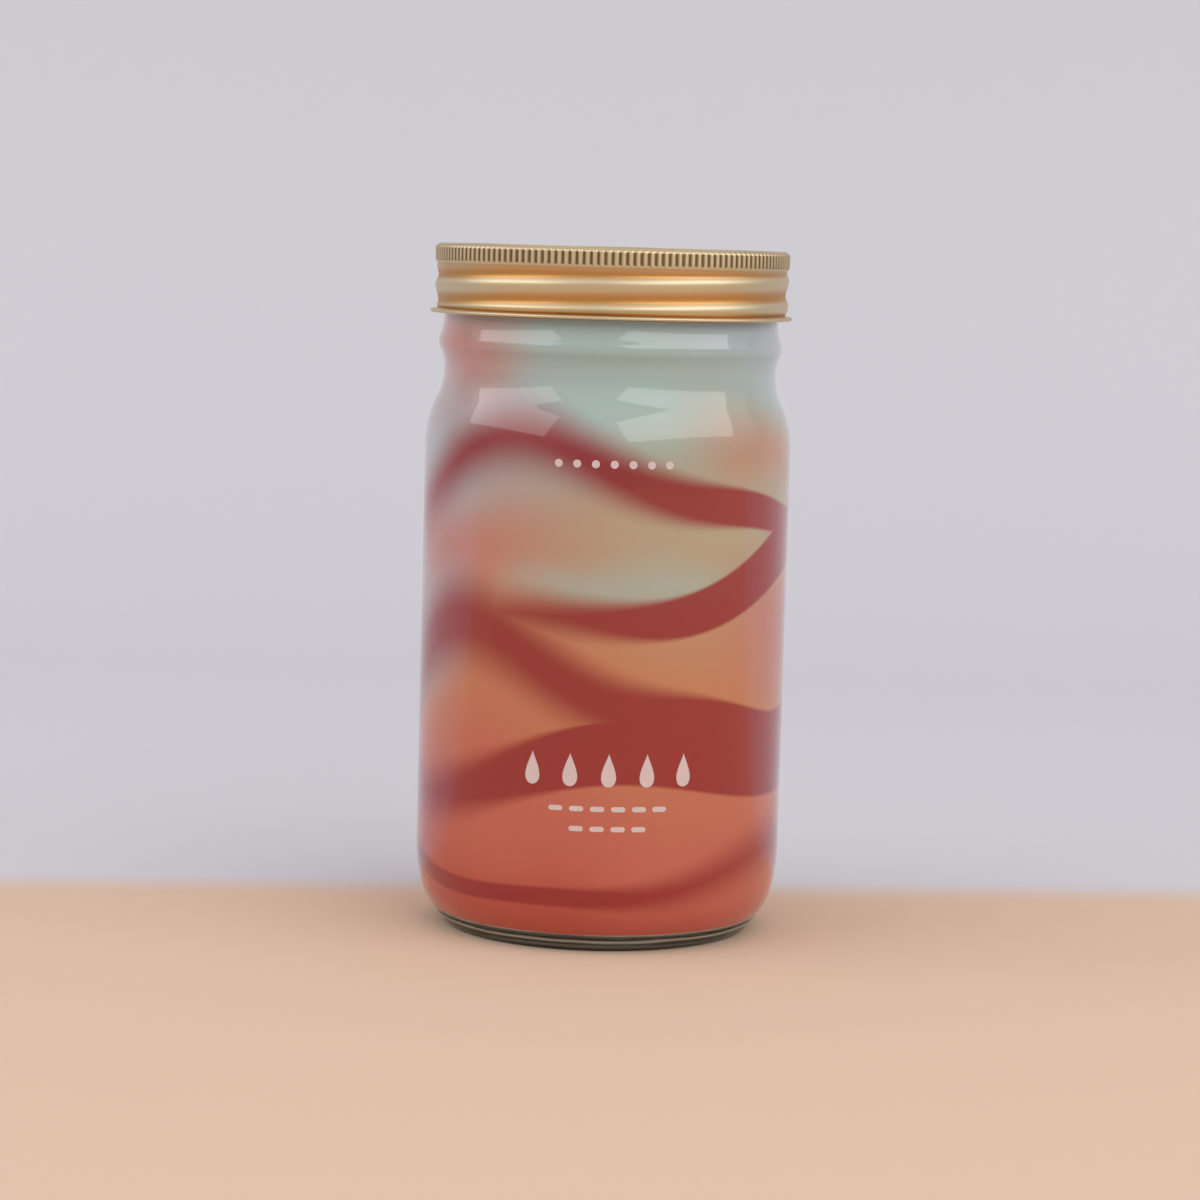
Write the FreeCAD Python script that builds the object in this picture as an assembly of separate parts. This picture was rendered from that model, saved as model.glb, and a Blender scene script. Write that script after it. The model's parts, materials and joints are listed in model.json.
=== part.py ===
"""Hydroponic jar planter: a screw-top glass jar with a printed skin, a net pot on its rim and a wick.

Millimetres, +Z up. The origin is the centre of the foot, on the surface that the jar stands on.
The front, where the print faces the viewer, looks along -Y.
"""
import FreeCAD
import Part
import math
import os

from FreeCAD import Vector

# Glass jar
jar_height = 172.9
body_radius = 46.9
wall = 3.0
heel_height = 21.5
shoulder_height = 124.0
neck_height = 143.7
neck_radius = 42.45
bead_height = 150.2
bead_radius = 43.85
bead_half_width = 3.4
finish_radius = 42.7
mouth_radius = 38.5
rim_round = 0.8
base_thickness = 5.0
floor_round = 12.0
push_up = 3.0
foot_land_width = 2.4
seam_groove_depth = 0.3
seam_groove_drop = 1.1
stipple_count = 140
stipple_radius = 0.4
# The heel leans in by two tangent arcs and a cone; the radii are shares of its height.
heel_arc_share = 2.05
knee_arc_share = 0.74
foot_edge_share = 0.14
heel_lean = math.radians(15)
knee_lean = math.radians(36)
# Of the two tangent arcs of a bend, the lower one takes this share of their radii.
shoulder_lower_share = 0.61
even_share = 0.5

# Printed skin on the outside of the glass
skin_thickness = 0.15
skin_top_gap = 0.8

# Screw band of rolled sheet
band_sheet = 0.3
band_height = 17.6
band_radius = 44.5
knurl_root_radius = 45.0
knurl_depth = 0.3
knurl_count = 160
knurl_top_drop = 0.9
knurl_length = 3.7
band_edge_round = 0.7
band_step = 0.5
lip_width = 6.0
flange_radius = 46.4
curl_radius = 0.45
flare_height = 1.4

# Thread, right-handed, rolled into the band and moulded on the glass
pitch = 6.35
roll_height = 0.8
roll_radius = 2.0
roll_front_rise = 2.4
thread_play = 0.2
roll_turns_before_front = 0.58
roll_turns_after_front = 1.42
glass_turns_before_front = 0.11
glass_turns_after_front = 1.33
thread_root_sink = 0.4

# Lid disc and its sealing ring
lid_play = 0.05
disc_sheet = 0.3
disc_clearance = 0.4
panel_radius = 34.5
panel_drop = 0.9
panel_slope = 0.9
gasket_thickness = 0.9
gasket_outer = 42.4
gasket_inner = 37.0

# Net pot of pressed steel
seat_play = 0.05
pot_sheet = 0.6
pot_flange_radius = 41.6
pot_clearance = 0.9
pot_depth = 64.0
pot_floor_radius = 30.0
pot_slot_rows = 4
pot_slots_per_row = 20
pot_slot_width = 2.4
pot_slot_length = 8.5
pot_slot_row_pitch = 12.5
pot_first_row_drop = 12.0
pot_floor_holes = 12
pot_floor_hole_radius = 1.6
pot_floor_ring_share = 0.72

# Wick, a flat felt strip through the pot's floor
wick_width = 22.0
wick_thickness = 2.5
wick_slot_clearance = 0.6
wick_in_medium = 22.0
wick_foot_gap = 4.0

# Growing medium
soft_clearance = 0.3
medium_head_space = 13.0
dibble_radius = 4.0
dibble_depth = 10.0

# Seed packet, lying on the medium
packet_length = 56.0
packet_width = 42.0
packet_thickness = 1.4
packet_flap = 14.0
packet_flap_thickness = 0.4
packet_turn = 20.0

# Pouches that stand on the jar's floor
pouch_width = 52.0
pouch_seam = 5.0
pouch_seam_thickness = 0.6
food_height = 66.0
food_thickness = 8.0
carbon_height = 58.0
carbon_thickness = 9.0
pouch_offset = 17.0
pouch_floor_gap = 0.3

overrun = 1.0

# Heights that stack up from the jar's rim
pot_flange_base = jar_height + seat_play
gasket_base = pot_flange_base + pot_sheet + seat_play
disc_base = gasket_base + gasket_thickness
band_top = disc_base + disc_sheet + lid_play + band_sheet
band_base = band_top - band_height
skin_top = band_base - skin_top_gap
pot_floor_base = pot_flange_base + pot_sheet - pot_depth
medium_top = pot_flange_base + pot_sheet - medium_head_space
floor_top = base_thickness

# Radii that follow from the thread
thread_centre_radius = band_radius + roll_height - roll_radius
channel_radius = roll_radius - band_sheet
ridge_radius = channel_radius - thread_play
disc_radius = band_radius - band_sheet - disc_clearance
pot_top_radius = mouth_radius - pot_clearance


def at(radius, height):
    """A point of an outline: its distance from the axis and its height."""
    return Vector(radius, 0, height)


def line(start, end):
    return Part.LineSegment(start, end).toShape()


def arc(start, through, end):
    return Part.Arc(start, through, end).toShape()


def chain(points):
    """Straight edges through the points."""
    return [line(a, b) for a, b in zip(points, points[1:])]


def revolved(edges):
    """A solid of revolution about the axis from a closed outline."""
    face = Part.Face(Part.Wire(edges))
    return face.revolve(Vector(0, 0, 0), Vector(0, 0, 1), 360)


def on_circle(centre, radius, angle):
    return centre + at(radius * math.cos(angle), radius * math.sin(angle))


def bend(lower, upper, lower_share, skin):
    """Two tangent arcs between upright stretches, moved outwards by skin."""
    across = upper.x - lower.x
    rise = upper.z - lower.z
    side = math.copysign(1, across)
    turn = 2 * math.atan(abs(across) / rise)
    radii = rise / math.sin(turn)
    lower_radius = radii * lower_share
    upper_radius = radii - lower_radius
    lower_centre = lower + at(side * lower_radius, 0)
    upper_centre = upper - at(side * upper_radius, 0)
    lower_skin = -side * lower_radius + skin
    upper_skin = side * upper_radius + skin
    start = on_circle(lower_centre, lower_skin, 0)
    lower_middle = on_circle(lower_centre, lower_skin, -side * turn / 2)
    meeting = on_circle(lower_centre, lower_skin, -side * turn)
    upper_middle = on_circle(upper_centre, upper_skin, -side * turn / 2)
    end = on_circle(upper_centre, upper_skin, 0)
    return [arc(start, lower_middle, meeting), arc(meeting, upper_middle, end)]


def heel_arcs(skin):
    """The heel's two arcs, from the knee up to the upright wall, and the knee's point."""
    heel_arc = heel_height * heel_arc_share
    knee_arc = heel_height * knee_arc_share
    heel_centre = at(body_radius - heel_arc, heel_height)
    knee_centre = on_circle(heel_centre, heel_arc - knee_arc, -heel_lean)
    top = on_circle(heel_centre, heel_arc + skin, 0)
    heel_middle = on_circle(heel_centre, heel_arc + skin, -heel_lean / 2)
    meeting = on_circle(heel_centre, heel_arc + skin, -heel_lean)
    knee_middle = on_circle(knee_centre, knee_arc + skin, -(heel_lean + knee_lean) / 2)
    knee = on_circle(knee_centre, knee_arc + skin, -knee_lean)
    return [arc(knee, knee_middle, meeting), arc(meeting, heel_middle, top)], knee


def jar_side(skin, top):
    """The jar's outside from the knee to a height on its neck, moved outwards by skin."""
    heel, knee = heel_arcs(skin)
    wall_foot = at(body_radius + skin, heel_height)
    wall_head = at(body_radius + skin, shoulder_height)
    bead_foot = bead_height - bead_half_width
    bead_head = bead_height + bead_half_width
    shoulder_base, shoulder_head = at(body_radius, shoulder_height), at(neck_radius, neck_height)
    shoulder = bend(shoulder_base, shoulder_head, shoulder_lower_share, skin)
    lower_bead = bend(at(neck_radius, bead_foot), at(bead_radius, bead_height), even_share, skin)
    upper_bead = bend(at(bead_radius, bead_height), at(finish_radius, bead_head), even_share, skin)
    neck_foot = at(neck_radius + skin, neck_height)
    neck_head = at(neck_radius + skin, bead_foot)
    finish_foot = at(finish_radius + skin, bead_head)
    end = at(finish_radius + skin, top)
    edges = heel + [line(wall_foot, wall_head)] + shoulder + [line(neck_foot, neck_head)]
    edges += lower_bead + upper_bead + [line(finish_foot, end)]
    return edges, knee, end


def helix_sweep(profile_radius, turns_before, turns_after):
    """A round bar wound on the thread's helix, counted in turns from the front."""
    helix = Part.makeHelix(pitch, pitch * (turns_before + turns_after), thread_centre_radius)
    middle = at(thread_centre_radius, 0)
    profile = Part.Wire(Part.Circle(middle, Vector(0, 1, 0), profile_radius).toShape())
    bar = Part.Wire(helix).makePipeShell([profile], True, True)
    front_turn = -90 - 360 * turns_before
    bar.rotate(Vector(0, 0, 0), Vector(0, 0, 1), front_turn)
    bar.translate(Vector(0, 0, band_base + roll_front_rise - pitch * turns_before))
    return bar


def tube(outer, inner, base, top):
    """An upright ring with square ends."""
    corners = [at(inner, base), at(outer, base), at(outer, top), at(inner, top), at(inner, base)]
    return revolved(chain(corners))


def around_axis(shape, count, first=0):
    """Copies of a shape at even steps about the axis."""
    copies = []
    for i in range(count):
        copy = shape.copy()
        copy.rotate(Vector(0, 0, 0), Vector(0, 0, 1), first + 360 * i / count)
        copies.append(copy)
    return copies


def glass_jar():
    """Clear glass: threaded finish, bead, shoulder, heel, stippled foot and pushed-up base."""
    side, knee, finish = jar_side(0, jar_height - rim_round)
    edge_radius = heel_height * foot_edge_share
    foot_edge = knee.x - (knee.z - edge_radius * (1 - math.sin(knee_lean))) * math.tan(knee_lean)
    edge_centre = at(foot_edge - edge_radius * math.cos(knee_lean), edge_radius)
    cone_foot = on_circle(edge_centre, edge_radius, -knee_lean)
    edge_middle = on_circle(edge_centre, edge_radius, -(knee_lean + math.pi / 2) / 2)
    land_outer = at(edge_centre.x, 0)
    land_inner = at(edge_centre.x - foot_land_width, 0)
    dome_middle = at(land_inner.x / 2, push_up * 3 / 4)
    dome_top = at(0, push_up)
    # Inside, from the middle of the floor to the mouth
    floor_middle = at(0, floor_top)
    inner_radius = body_radius - wall
    round_centre = at(inner_radius - floor_round, floor_top + floor_round)
    floor_edge = on_circle(round_centre, floor_round, -math.pi / 2)
    floor_corner = on_circle(round_centre, floor_round, -math.pi / 4)
    wall_foot = on_circle(round_centre, floor_round, 0)
    inner_shoulder = at(inner_radius, shoulder_height)
    inner_neck = at(mouth_radius, neck_height)
    rim_inner = at(mouth_radius, jar_height - rim_round)
    rim_inner_top = at(mouth_radius + rim_round, jar_height)
    rim_outer_top = at(finish_radius - rim_round, jar_height)
    rim_inner_centre = rim_inner + at(rim_round, 0)
    rim_outer_centre = finish - at(rim_round, 0)
    edges = side + [
        arc(finish, on_circle(rim_outer_centre, rim_round, math.pi / 4), rim_outer_top),
        line(rim_outer_top, rim_inner_top),
        arc(rim_inner_top, on_circle(rim_inner_centre, rim_round, 3 * math.pi / 4), rim_inner),
        line(rim_inner, inner_neck),
    ]
    edges += bend(inner_shoulder, inner_neck, shoulder_lower_share, 0)
    edges += [
        line(inner_shoulder, wall_foot),
        arc(wall_foot, floor_corner, floor_edge),
        line(floor_edge, floor_middle),
        line(floor_middle, dome_top),
        arc(dome_top, dome_middle, land_inner),
        line(land_inner, land_outer),
        arc(land_outer, edge_middle, cone_foot),
        line(cone_foot, knee),
    ]
    body = revolved(Part.__sortEdges__(edges))

    # The line that the mould leaves round the clear foot
    groove_height = knee.z - seam_groove_drop
    groove_radius = knee.x - seam_groove_drop * math.tan(knee_lean)
    groove = Part.makeTorus(groove_radius, seam_groove_depth)
    groove.translate(Vector(0, 0, groove_height))

    # Small dents round the land that the jar stands on
    dent_length = foot_land_width + overrun
    dent = Part.makeCylinder(stipple_radius, dent_length, Vector(0, 0, 0), Vector(1, 0, 0))
    dent.translate(Vector(land_inner.x + foot_land_width / 2, 0, 0))
    dents = around_axis(dent, stipple_count, 180 / stipple_count)

    # The thread that the band turns on
    ridge = helix_sweep(ridge_radius, glass_turns_before_front, glass_turns_after_front)
    zone_outer, zone_inner = band_radius + roll_height, finish_radius - thread_root_sink
    finish_zone = tube(zone_outer, zone_inner, band_base, jar_height - rim_round)
    body = body.fuse(ridge.common(finish_zone))
    return body.cut([groove] + dents)


def print_skin():
    """Thin printed film that follows the glass from under the band to the knee of the heel."""
    inner, inner_knee, inner_end = jar_side(0, skin_top)
    outer, outer_knee, outer_end = jar_side(skin_thickness, skin_top)
    edges = inner + outer + [line(inner_knee, outer_knee), line(inner_end, outer_end)]
    return revolved(Part.__sortEdges__(edges))


def knurl_ring(base, top):
    """The fluted edge: shallow round flutes side by side round a plain bore."""
    step = 2 * math.pi / knurl_count
    crest = knurl_root_radius + knurl_depth
    edges = []
    for i in range(knurl_count):
        start = Vector(knurl_root_radius * math.cos(i * step), knurl_root_radius * math.sin(i * step), base)
        middle = Vector(crest * math.cos((i + 0.5) * step), crest * math.sin((i + 0.5) * step), base)
        end_angle = (i + 1) % knurl_count * step
        end = Vector(knurl_root_radius * math.cos(end_angle), knurl_root_radius * math.sin(end_angle), base)
        edges.append(arc(start, middle, end))
    prism = Part.Face(Part.Wire(edges)).extrude(Vector(0, 0, top - base))
    bore = Part.makeCylinder(knurl_root_radius - band_sheet, top - base + 2 * overrun)
    bore.translate(Vector(0, 0, base - overrun))
    return prism.cut(bore)


def screw_band():
    """Rolled sheet ring: inward lip, fluted edge, wall with a rolled thread, flared skirt with a curl."""
    knurl_top = band_top - knurl_top_drop
    knurl_base = knurl_top - knurl_length
    lip_inner = knurl_root_radius - lip_width
    outer_corner = at(knurl_root_radius - band_edge_round, band_top - band_edge_round)
    inner_round = band_edge_round - band_sheet
    curl_centre = at(flange_radius - curl_radius, band_base + curl_radius)
    flare_top = band_base + flare_height
    outside = [
        at(knurl_root_radius, band_top - band_edge_round),
        at(knurl_root_radius, knurl_base),
        at(band_radius, knurl_base - band_step),
        at(band_radius, flare_top),
        curl_centre + at(0, curl_radius * even_share),
    ]
    inside = [
        curl_centre - at(0, curl_radius * even_share),
        at(band_radius - band_sheet, flare_top - band_sheet),
        at(band_radius - band_sheet, knurl_base - band_step),
        at(knurl_root_radius - band_sheet, knurl_base),
        at(knurl_root_radius - band_sheet, band_top - band_edge_round),
    ]
    lip_edge = [
        at(outer_corner.x, band_top - band_sheet),
        at(lip_inner, band_top - band_sheet),
        at(lip_inner, band_top),
        at(outer_corner.x, band_top),
    ]
    edges = chain(outside) + [line(outside[-1], inside[0])] + chain(inside)
    edges.append(arc(inside[-1], on_circle(outer_corner, inner_round, math.pi / 4), lip_edge[0]))
    edges += chain(lip_edge)
    edges.append(arc(lip_edge[-1], on_circle(outer_corner, band_edge_round, math.pi / 4), outside[0]))
    band = revolved(edges)
    curl = Part.makeTorus(curl_centre.x, curl_radius)
    curl.translate(Vector(0, 0, curl_centre.z))
    # The roll is a bent bar with the channel cut out of it, and the wall is open to the channel.
    channel = helix_sweep(channel_radius, roll_turns_before_front, roll_turns_after_front)
    roll_zone = tube(flange_radius, band_radius - band_sheet / 2, band_base + curl_radius, knurl_base)
    roll = helix_sweep(roll_radius, roll_turns_before_front, roll_turns_after_front)
    roll = roll.common(roll_zone).cut(channel)
    return band.cut(channel).fuse([roll, curl, knurl_ring(knurl_base, knurl_top)])


def lid_disc():
    """Flat pressed disc with a sunk panel, held down by the band's lip."""
    top = disc_base + disc_sheet
    slope_outer = panel_radius + panel_slope
    panel_top = top - panel_drop
    corners = [
        at(0, panel_top),
        at(panel_radius, panel_top),
        at(slope_outer, top),
        at(disc_radius, top),
        at(disc_radius, disc_base),
        at(slope_outer, disc_base),
        at(panel_radius, panel_top - disc_sheet),
        at(0, panel_top - disc_sheet),
        at(0, panel_top),
    ]
    return revolved(chain(corners))


def lid_gasket():
    """Sealing ring under the disc's rim."""
    return tube(gasket_outer, gasket_inner, gasket_base, disc_base)


def pot_radius(height):
    """The outside of the pot's wall at a height."""
    share = (height - pot_floor_base) / (pot_flange_base - pot_floor_base)
    return pot_floor_radius + (pot_top_radius - pot_floor_radius) * share


def slot_cutter(width, length, reach, height, turn):
    """An upright round-ended slot that reaches out from the axis."""
    half = width / 2
    straight = length / 2 - half
    edges = [
        line(Vector(0, half, straight), Vector(0, half, -straight)),
        arc(Vector(0, half, -straight), Vector(0, 0, -straight - half), Vector(0, -half, -straight)),
        line(Vector(0, -half, -straight), Vector(0, -half, straight)),
        arc(Vector(0, -half, straight), Vector(0, 0, straight + half), Vector(0, half, straight)),
    ]
    cutter = Part.Face(Part.Wire(edges)).extrude(Vector(reach, 0, 0))
    cutter.translate(Vector(0, 0, height))
    cutter.rotate(Vector(0, 0, 0), Vector(0, 0, 1), turn)
    return cutter


def wick_slot(base, top):
    """The straight slot that the wick runs through."""
    length = wick_width + wick_slot_clearance
    width = wick_thickness + wick_slot_clearance
    return Part.makeBox(length, width, top - base, Vector(-length / 2, -width / 2, base))


def net_pot():
    """Pressed steel basket: a flange on the jar's rim, slotted walls and a floor with a wick slot."""
    flange_top = pot_flange_base + pot_sheet
    floor_inside = pot_floor_base + pot_sheet
    corners = [
        at(0, pot_floor_base),
        at(pot_floor_radius, pot_floor_base),
        at(pot_top_radius, pot_flange_base),
        at(pot_flange_radius, pot_flange_base),
        at(pot_flange_radius, flange_top),
        at(pot_top_radius - pot_sheet, flange_top),
        at(pot_radius(floor_inside) - pot_sheet, floor_inside),
        at(0, floor_inside),
        at(0, pot_floor_base),
    ]
    pot = revolved(chain(corners))
    cutters = [wick_slot(pot_floor_base - overrun, floor_inside + overrun)]
    for row in range(pot_slot_rows):
        height = flange_top - pot_first_row_drop - row * pot_slot_row_pitch
        for i in range(pot_slots_per_row):
            turn = 360 * (i + row % 2 / 2) / pot_slots_per_row
            cutters.append(slot_cutter(pot_slot_width, pot_slot_length, pot_flange_radius, height, turn))
    pillar = slot_pillar()
    hole = Part.makeCylinder(pot_floor_hole_radius, pot_sheet + 2 * overrun)
    hole.translate(Vector(pot_floor_radius * pot_floor_ring_share, 0, pot_floor_base - overrun))
    holes = around_axis(hole, pot_floor_holes)
    return pot.cut([cutter.cut(pillar) for cutter in cutters[1:]]).cut(cutters[:1] + holes)


def slot_pillar():
    """The room inside the pot, where the slot cutters don't need to reach."""
    inner = pot_floor_radius - pot_sheet - overrun
    pillar = Part.makeCylinder(inner, pot_depth)
    pillar.translate(Vector(0, 0, pot_floor_base))
    return pillar


def growing_medium():
    """Plug of pressed fibre that fills the pot, with a dibble hole and a slot for the wick."""
    base = pot_floor_base + pot_sheet + soft_clearance
    inset = pot_sheet + soft_clearance
    corners = [
        at(0, base),
        at(pot_radius(base) - inset, base),
        at(pot_radius(medium_top) - inset, medium_top),
        at(0, medium_top),
        at(0, base),
    ]
    plug = revolved(chain(corners))
    dibble = Part.makeCylinder(dibble_radius, dibble_depth + overrun)
    dibble.translate(Vector(0, 0, medium_top - dibble_depth))
    slot = wick_slot(base - overrun, base + wick_in_medium + soft_clearance)
    return plug.cut([dibble, slot])


def wick_strip():
    """Felt strip from the medium down to the bottom of the reservoir."""
    base = floor_top + wick_foot_gap
    top = pot_floor_base + pot_sheet + soft_clearance + wick_in_medium
    corner = Vector(-wick_width / 2, -wick_thickness / 2, base)
    return Part.makeBox(wick_width, wick_thickness, top - base, corner)


def seed_packet():
    """Paper envelope with a turned-down flap, lying on the medium."""
    base = medium_top + soft_clearance
    corner = Vector(-packet_length / 2, -packet_width / 2, base)
    body = Part.makeBox(packet_length, packet_width, packet_thickness, corner)
    flap_corner = Vector(packet_length / 2 - packet_flap, -packet_width / 2, base + packet_thickness)
    flap = Part.makeBox(packet_flap, packet_width, packet_flap_thickness, flap_corner)
    packet = body.fuse(flap).removeSplitter()
    packet.rotate(Vector(0, 0, 0), Vector(0, 0, 1), packet_turn)
    return packet


def rounded_slab(width, thickness, height):
    """A flat section of a pouch: two shallow arcs that meet at its side seams."""
    left = Vector(-width / 2, 0, height)
    right = Vector(width / 2, 0, height)
    lower = arc(left, Vector(0, -thickness / 2, height), right)
    upper = arc(right, Vector(0, thickness / 2, height), left)
    return Part.Wire([lower, upper])


def pouch(height, thickness):
    """Filled pouch: a crowned middle between two flat crimped ends."""
    crown = Part.makeLoft(
        [
            rounded_slab(pouch_width, pouch_seam_thickness, pouch_seam),
            rounded_slab(pouch_width, thickness, height / 3),
            rounded_slab(pouch_width, thickness * 3 / 4, height * 2 / 3),
            rounded_slab(pouch_width, pouch_seam_thickness, height - pouch_seam),
        ],
        True,
    )
    seam_face = Part.Face(rounded_slab(pouch_width, pouch_seam_thickness, 0))
    lower_seam = seam_face.extrude(Vector(0, 0, pouch_seam))
    upper_seam = lower_seam.copy()
    upper_seam.translate(Vector(0, 0, height - pouch_seam))
    return crown.fuse([lower_seam, upper_seam])


def plant_food_sachet():
    """Sachet of plant food, behind the wick."""
    sachet = pouch(food_height, food_thickness)
    sachet.translate(Vector(0, pouch_offset, floor_top + pouch_floor_gap))
    return sachet


def carbon_pouch():
    """Pouch of carbon granules, in front of the wick."""
    sachet = pouch(carbon_height, carbon_thickness)
    sachet.translate(Vector(0, -pouch_offset, floor_top + pouch_floor_gap))
    return sachet


def main():
    pieces = {
        "glass_jar": glass_jar,
        "print_skin": print_skin,
        "screw_band": screw_band,
        "lid_disc": lid_disc,
        "lid_gasket": lid_gasket,
        "net_pot": net_pot,
        "growing_medium": growing_medium,
        "wick_strip": wick_strip,
        "seed_packet": seed_packet,
        "plant_food_sachet": plant_food_sachet,
        "carbon_pouch": carbon_pouch,
    }
    os.makedirs("parts", exist_ok=True)
    for name, make in pieces.items():
        shape = make()
        solids = shape.Solids
        shape = solids[0] if len(solids) == 1 else Part.makeCompound(solids)
        shape.exportStep(f"parts/{name}.step")
        box = shape.BoundBox
        print(
            f"{name}: solids {len(solids)}, valid {shape.isValid()}, volume {shape.Volume:.1f}, "
            f"z {box.ZMin:.2f} to {box.ZMax:.2f}, radius {box.XMax:.2f}"
        )


main()
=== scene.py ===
"""Finishes for a hydroponic jar planter: printed film, glass, gold band, net pot, wick and fillings."""
import json
import math
import random

import bmesh
import bpy
from bpy.props import FloatProperty, FloatVectorProperty, IntProperty, PointerProperty
from mathutils import Matrix, Vector, noise

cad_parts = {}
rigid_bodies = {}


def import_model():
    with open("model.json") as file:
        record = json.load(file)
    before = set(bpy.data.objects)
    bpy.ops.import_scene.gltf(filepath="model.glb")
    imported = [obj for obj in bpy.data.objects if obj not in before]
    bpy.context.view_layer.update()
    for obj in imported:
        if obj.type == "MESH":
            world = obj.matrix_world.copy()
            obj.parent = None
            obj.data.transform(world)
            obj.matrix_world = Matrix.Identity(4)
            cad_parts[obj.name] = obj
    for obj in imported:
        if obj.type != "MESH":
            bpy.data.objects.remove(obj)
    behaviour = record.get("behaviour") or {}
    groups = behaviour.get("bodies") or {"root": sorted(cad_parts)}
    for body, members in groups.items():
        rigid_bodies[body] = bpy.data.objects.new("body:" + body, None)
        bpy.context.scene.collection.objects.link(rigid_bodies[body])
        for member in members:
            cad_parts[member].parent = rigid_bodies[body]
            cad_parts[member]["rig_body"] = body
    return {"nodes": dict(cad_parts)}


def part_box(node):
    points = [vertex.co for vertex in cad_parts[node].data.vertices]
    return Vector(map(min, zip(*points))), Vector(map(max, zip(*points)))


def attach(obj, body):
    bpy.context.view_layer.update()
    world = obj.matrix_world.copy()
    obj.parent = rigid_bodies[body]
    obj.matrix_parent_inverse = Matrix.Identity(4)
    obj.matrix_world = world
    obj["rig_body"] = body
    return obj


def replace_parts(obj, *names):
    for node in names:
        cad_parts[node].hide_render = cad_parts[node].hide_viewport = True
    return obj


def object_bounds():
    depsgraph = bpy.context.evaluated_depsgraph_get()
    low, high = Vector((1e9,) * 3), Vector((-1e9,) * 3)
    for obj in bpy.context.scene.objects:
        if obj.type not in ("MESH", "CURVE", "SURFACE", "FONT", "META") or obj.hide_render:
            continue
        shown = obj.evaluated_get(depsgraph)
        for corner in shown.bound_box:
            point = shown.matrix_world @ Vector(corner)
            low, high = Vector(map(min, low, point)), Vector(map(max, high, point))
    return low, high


bl_info = {
    "name": "Hydroponic jar planter",
    "version": (1, 0, 0),
    "blender": (4, 5, 0),
    "location": "View3D > Sidebar > Jar planter",
    "description": "Builds the finished pieces of a screw-top jar planter round its packed frame",
    "category": "Object",
}

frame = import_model()
cad_low, cad_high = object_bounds()

MM = 0.001
# Vertices nearer than this are one: in a new mesh, and in a copy of a CAD mesh
WELD, CAD_WELD = 1e-7, 1e-6


def colour(red, green, blue):
    """A shader colour from sRGB screen values of 0 to 255."""
    shares = [value / 255 for value in (red, green, blue)]
    return tuple(s / 12.92 if s <= 0.04045 else ((s + 0.055) / 1.055) ** 2.4 for s in shares) + (1.0,)


def length(name, description, millimetres):
    """A length property, whose default is given in millimetres."""
    default = millimetres * MM
    return FloatProperty(name=name, description=description, default=default, unit="LENGTH", precision=5)


def angle(name, description, degrees):
    """An angle property, whose default is given in degrees."""
    default = math.radians(degrees)
    return FloatProperty(name=name, description=description, default=default, subtype="ANGLE")


def share(name, description, default, low, high):
    """A property for a share of something, with its limits."""
    limits = {"min": low, "max": high}
    return FloatProperty(name=name, description=description, default=default, subtype="FACTOR", **limits)


def power(name, description, watts):
    """A property for a lamp's power."""
    return FloatProperty(name=name, description=description, default=watts, min=0.0, unit="POWER")


def tint(name, description, red, green, blue):
    """A colour property, whose default is given in screen values."""
    default = colour(red, green, blue)
    return FloatVectorProperty(name=name, description=description, default=default, subtype="COLOR", size=4)


class JarSizes(bpy.types.PropertyGroup):
    """The outside of the printed film, which follows the glass."""

    body_radius: length("Body radius", "Outside of the straight wall", 47.05)
    neck_radius: length("Neck radius", "Narrowest place above the shoulder", 42.6)
    bead_radius: length("Bead radius", "Crest of the bead round the neck", 44.1)
    finish_radius: length("Finish radius", "Wall that goes up under the band", 42.85)
    heel_height: length("Heel height", "Where the straight wall starts", 21.5)
    shoulder_height: length("Shoulder height", "Where the straight wall ends", 124.0)
    neck_height: length("Neck height", "Narrowest place of the neck", 143.7)
    bead_height: length("Bead height", "Crest of the bead", 150.2)
    bead_half_width: length("Bead half width", "From the bead's crest to its foot", 6.4)
    film: length("Film thickness", "Thickness of the printed film", 0.12)
    film_top: length("Film top", "Upper end of the film, at the band", 157.4)
    thread_root: length("Thread root", "Glass wall that the thread stands on", 42.7)
    thread_before: FloatProperty(
        name="Thread before",
        description="Turns of glass thread before the front",
        default=0.11,
    )
    thread_after: FloatProperty(
        name="Thread after",
        description="Turns of glass thread after the front",
        default=1.33,
    )
    thread_fade: share("Thread fade", "Part of a turn in which a thread end runs out", 0.07, 0.01, 0.5)
    foot_share: share("Bead foot share", "Part of the bead's bends that its foot takes", 0.74, 0.1, 0.9)


class PrintColours(bpy.types.PropertyGroup):
    """Colours of the printed film."""

    mint: tint("Mint", "Top of the ground", 158, 182, 174)
    mist: tint("Mist", "Upper part of the ground", 166, 178, 184)
    sand: tint("Sand", "Middle of the ground", 176, 160, 132)
    rose: tint("Rose", "Blush on the left", 190, 116, 104)
    peach: tint("Peach", "Lower middle of the ground", 192, 124, 86)
    coral: tint("Coral", "Lower part of the ground", 191, 98, 79)
    brick: tint("Brick", "Foot of the ground", 178, 70, 55)
    ribbon: tint("Ribbon", "Wavy ribbons", 134, 24, 29)
    mark: tint("Mark", "Small pale marks on the front", 216, 196, 194)


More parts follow.
